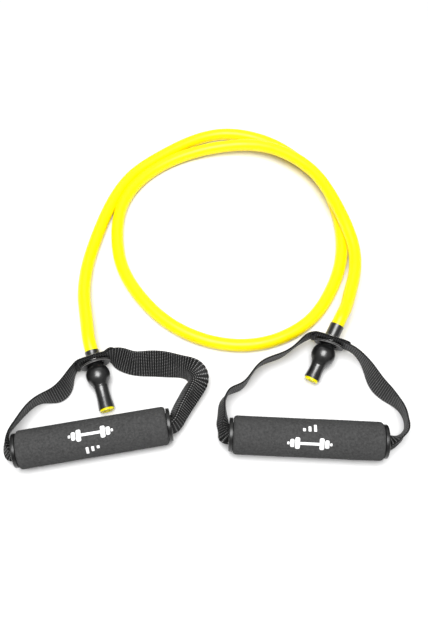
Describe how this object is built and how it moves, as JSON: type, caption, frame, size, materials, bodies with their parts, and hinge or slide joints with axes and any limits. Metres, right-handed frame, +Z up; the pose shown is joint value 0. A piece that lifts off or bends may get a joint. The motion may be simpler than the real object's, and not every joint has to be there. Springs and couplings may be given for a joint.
{
  "type": "resistance band",
  "caption": "Loosely looped elastic tube with a foam-covered handle on a webbing strap at each end, for strength and rehabilitation exercise.",
  "frame": {"origin": "middle of the footprint of the two handles and sleeves, on the floor the band lies on", "axes": "+X from the left handle to the right handle, +Y from the handles to the loop of tube, +Z up from the floor"},
  "size_m": [0.3195, 0.3432, 0.0298],
  "materials": {
    "yellow_latex": "satin latex",
    "black_sleeve": "satin",
    "white_nylon": "matte",
    "black_steel": "gloss black",
    "black_nickel": "black nickel",
    "black_webbing": "woven",
    "grey_foam": "fine closed-cell foam",
    "grey_pipe": "matte",
    "gloss_black": "gloss"
  },
  "bodies": {
    "band": {"latex_tube": "yellow_latex", "left_tube_end": "yellow_latex", "left_tube_sleeve": "black_sleeve", "left_plug_ball": "white_nylon", "right_tube_end": "yellow_latex", "right_tube_sleeve": "black_sleeve", "right_plug_ball": "white_nylon"},
    "left_washer": {"left_stop_washer": "black_steel"},
    "left_strap": {"left_grommet_eyelet": "black_nickel", "left_grommet_ring": "black_nickel", "left_webbing_strap": "black_webbing"},
    "left_grip": {"left_foam_grip": "grey_foam", "left_core_tube": "grey_pipe", "left_inner_end_cap": "gloss_black", "left_outer_end_cap": "gloss_black"},
    "right_washer": {"right_stop_washer": "black_steel"},
    "right_strap": {"right_grommet_eyelet": "black_nickel", "right_grommet_ring": "black_nickel", "right_webbing_strap": "black_webbing"},
    "right_grip": {"right_foam_grip": "grey_foam", "right_core_tube": "grey_pipe", "right_inner_end_cap": "gloss_black", "right_outer_end_cap": "gloss_black"}
  },
  "joints": [
    {"name": "left_handle_swivel", "type": "hinge", "parent": "band", "child": "left_washer", "pos_m": [-0.09189, 0.02961, 0.0147], "axis": [0.2918, -0.9406, -0.1734], "continuous": true},
    {"name": "left_strap_slide", "type": "slide", "parent": "left_washer", "child": "left_strap", "axis": [-0.2918, 0.9406, 0.1734], "range_m": [0, 0.004]},
    {"name": "left_grip_spin", "type": "hinge", "parent": "left_strap", "child": "left_grip", "pos_m": [-0.0876, -0.0365, 0.01491], "axis": [0.9848, 0.1736, 0], "continuous": true},
    {"name": "right_handle_swivel", "type": "hinge", "parent": "band", "child": "right_washer", "pos_m": [0.10226, 0.04662, 0.01667], "axis": [-0.4498, -0.8546, -0.2596], "range_deg": [-105, 105]},
    {"name": "right_strap_slide", "type": "slide", "parent": "right_washer", "child": "right_strap", "axis": [0.4498, 0.8546, 0.2596], "range_m": [0, 0.01]},
    {"name": "right_grip_spin", "type": "hinge", "parent": "right_strap", "child": "right_grip", "pos_m": [0.079, -0.0368, 0.01491], "axis": [0.9989, -0.0471, 0], "continuous": true}
  ]
}
